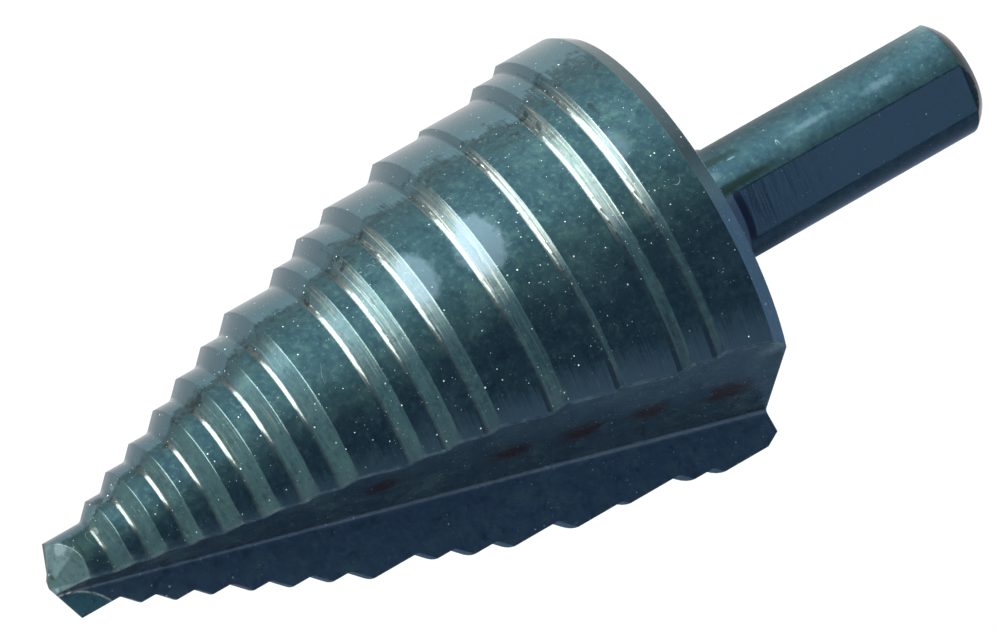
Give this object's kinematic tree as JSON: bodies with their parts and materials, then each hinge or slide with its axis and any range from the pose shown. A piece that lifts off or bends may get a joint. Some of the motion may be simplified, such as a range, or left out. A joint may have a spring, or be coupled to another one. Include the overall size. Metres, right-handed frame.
{
  "type": "step drill",
  "caption": "Conical step drill with stepped treads that grow from a short split point to a wide rim, two straight V flutes, and a round shank with three drive flats.",
  "frame": {"origin": "middle of the shank's end face, on the drill's axis; the drill stands on that face", "axes": "+Z along the drill's axis to the cutting tip; +X to one of the two cutting edges, which lie in the plane y = 0; the edge at -X has its rake face turned to -Y"},
  "size_m": [0.0348, 0.0346, 0.0811],
  "materials": {
    "oxide_steel": "dark blue-green oxide finish on ground high-speed steel, half gloss, worn bright at a few edges"
  },
  "bodies": {
    "root": {"step_drill": "oxide_steel"}
  },
  "joints": []
}
